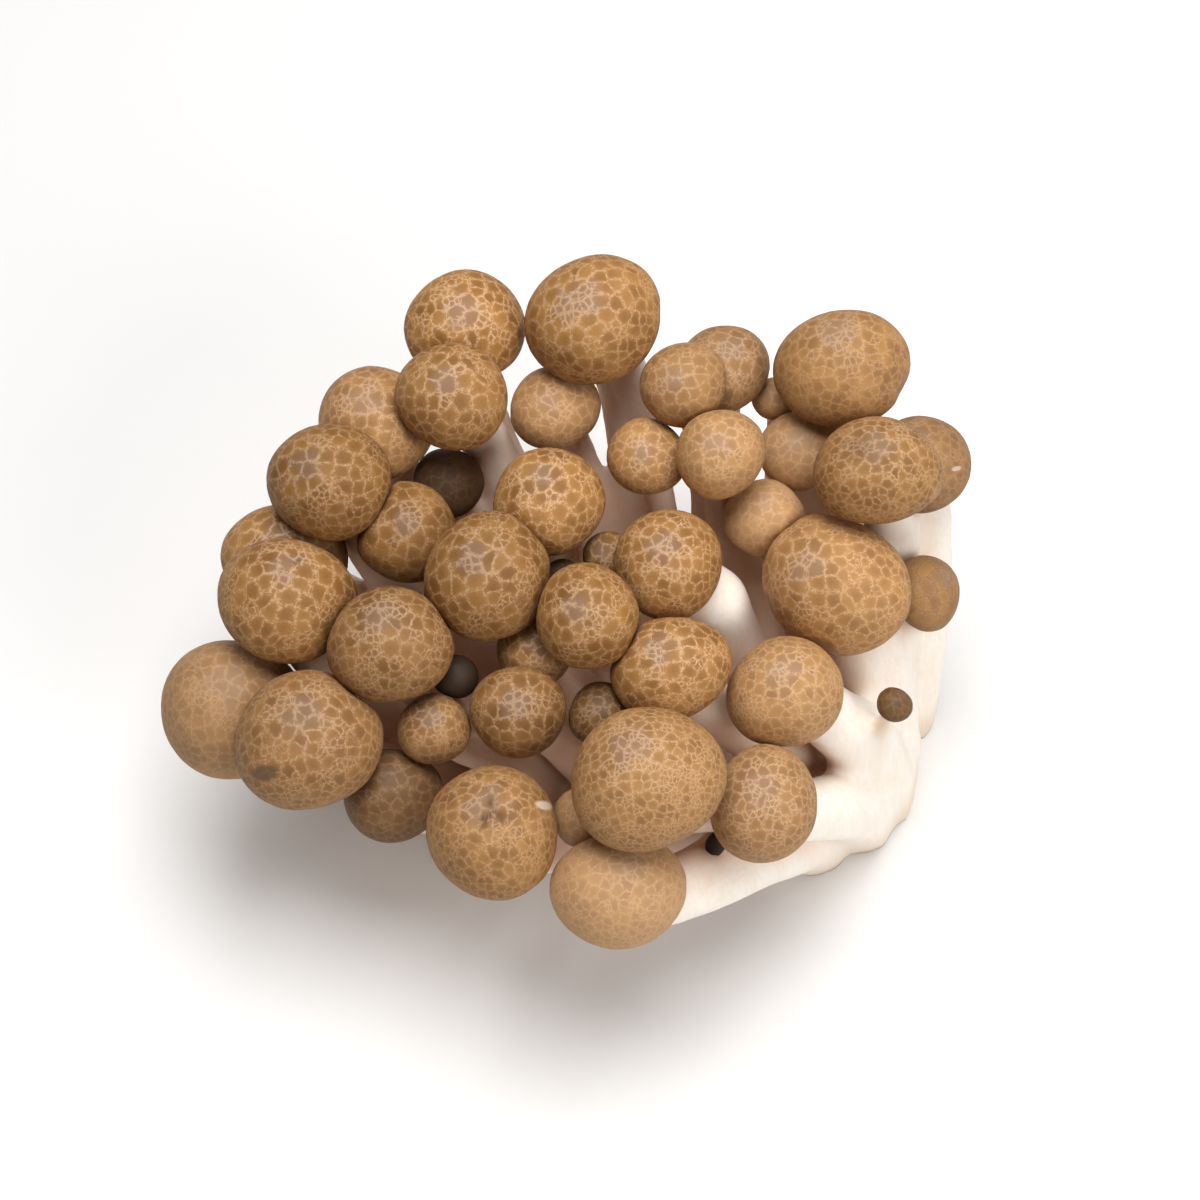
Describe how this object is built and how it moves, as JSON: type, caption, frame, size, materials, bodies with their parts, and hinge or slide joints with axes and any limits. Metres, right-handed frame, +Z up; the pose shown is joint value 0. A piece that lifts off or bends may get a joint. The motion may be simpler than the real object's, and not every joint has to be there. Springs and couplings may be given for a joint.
{
  "type": "beech mushroom cluster",
  "caption": "Fresh cluster of brown beech mushrooms: round netted caps crowded on white stems that grow from one cut foot, standing on the cut.",
  "frame": {"origin": "middle of the flat cut face under the foot, on the surface that the cluster stands on", "axes": "+Z up from the cut face towards the caps; +X along the long side of the foot; the low front caps lie towards -Y and the tall back caps towards +Y"},
  "size_m": [0.1575, 0.1297, 0.0993],
  "materials": {
    "cap": "matte",
    "stem": "matte"
  },
  "bodies": {
    "root": {"cap_01": "cap", "cap_02": "cap", "cap_03": "cap", "cap_04": "cap", "cap_05": "cap", "cap_06": "cap", "cap_07": "cap", "cap_08": "cap", "cap_09": "cap", "cap_10": "cap", "cap_11": "cap", "cap_12": "cap", "cap_13": "cap", "cap_14": "cap", "cap_15": "cap", "cap_16": "cap", "cap_17": "cap", "cap_18": "cap", "cap_19": "cap", "cap_20": "cap", "cap_21": "cap", "cap_22": "cap", "cap_23": "cap", "cap_24": "cap", "cap_25": "cap", "cap_26": "cap", "cap_27": "cap", "cap_28": "cap", "cap_29": "cap", "cap_30": "cap", "cap_31": "cap", "cap_32": "cap", "cap_33": "cap", "cap_34": "cap", "cap_35": "cap", "cap_36": "cap", "cap_37": "cap", "cap_38": "cap", "cap_39": "cap", "cap_40": "cap", "cap_41": "cap", "cap_42": "cap", "cap_43": "cap", "cap_44": "cap", "cap_45": "cap", "cap_46": "cap", "cap_47": "cap", "cap_48": "cap", "cap_49": "cap", "cap_50": "cap", "stems_and_foot": "stem"}
  },
  "joints": []
}
